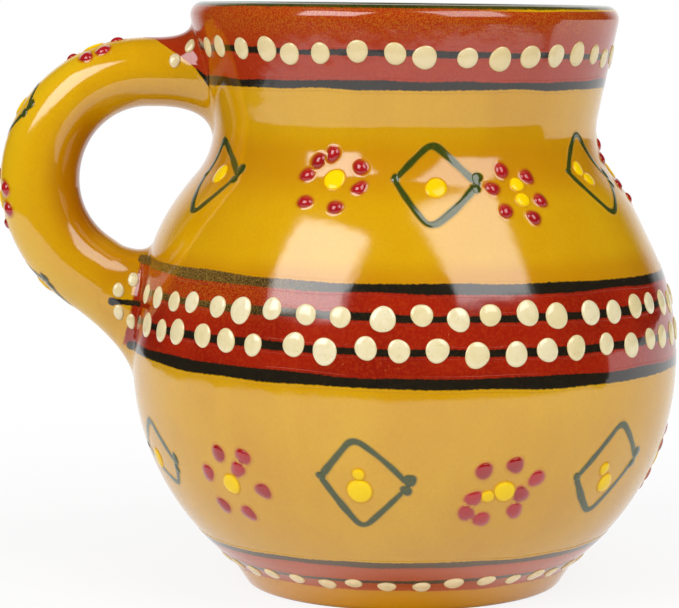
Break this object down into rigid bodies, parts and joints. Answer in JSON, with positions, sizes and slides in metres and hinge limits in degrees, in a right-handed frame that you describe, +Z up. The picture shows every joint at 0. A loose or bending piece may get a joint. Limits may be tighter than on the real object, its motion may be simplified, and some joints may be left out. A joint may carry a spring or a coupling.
{
  "type": "clay mug",
  "caption": "Hand-thrown clay mug with a round belly, flared rim and coil loop handle, painted with red bands, cream bead rows, dot flowers and trailed diamonds; holds a hot drink.",
  "frame": {"origin": "centre of the foot, on the table", "axes": "+Z up along the pot's axis; the handle points to -X; -Y faces the viewer in the picture"},
  "size_m": [0.1196, 0.0968, 0.1022],
  "materials": {
    "gold_glaze": "gloss",
    "red_slip": "gloss",
    "dark_slip": "gloss",
    "green_lip": "gloss",
    "cream_slip": "gloss",
    "petal_slip": "gloss",
    "yellow_slip": "gloss",
    "green_trail": "gloss"
  },
  "bodies": {
    "root": {"pot_body": "gold_glaze", "handle": "gold_glaze", "rim_red_band": "red_slip", "belly_red_band": "red_slip", "foot_red_band": "red_slip", "handle_root_red": "red_slip", "rim_bead_line": "dark_slip", "rim_border_line": "dark_slip", "belly_upper_border": "dark_slip", "belly_lower_border": "dark_slip", "belly_upper_bead_line": "dark_slip", "belly_lower_bead_line": "dark_slip", "foot_border_line": "dark_slip", "foot_bead_line": "dark_slip", "lip_green_band": "green_lip", "rim_beads": "cream_slip", "belly_upper_beads": "cream_slip", "belly_lower_beads": "cream_slip", "foot_beads": "cream_slip", "handle_root_beads": "cream_slip", "shoulder_flower_petals": "petal_slip", "lower_flower_petals": "petal_slip", "handle_flower_petals": "petal_slip", "shoulder_flower_eyes": "yellow_slip", "shoulder_diamond_eyes": "yellow_slip", "lower_flower_eyes": "yellow_slip", "lower_diamond_eyes": "yellow_slip", "handle_flower_eyes": "yellow_slip", "handle_diamond_eyes": "yellow_slip", "shoulder_diamonds": "green_trail", "lower_diamonds": "green_trail", "handle_diamonds": "green_trail"}
  },
  "joints": []
}
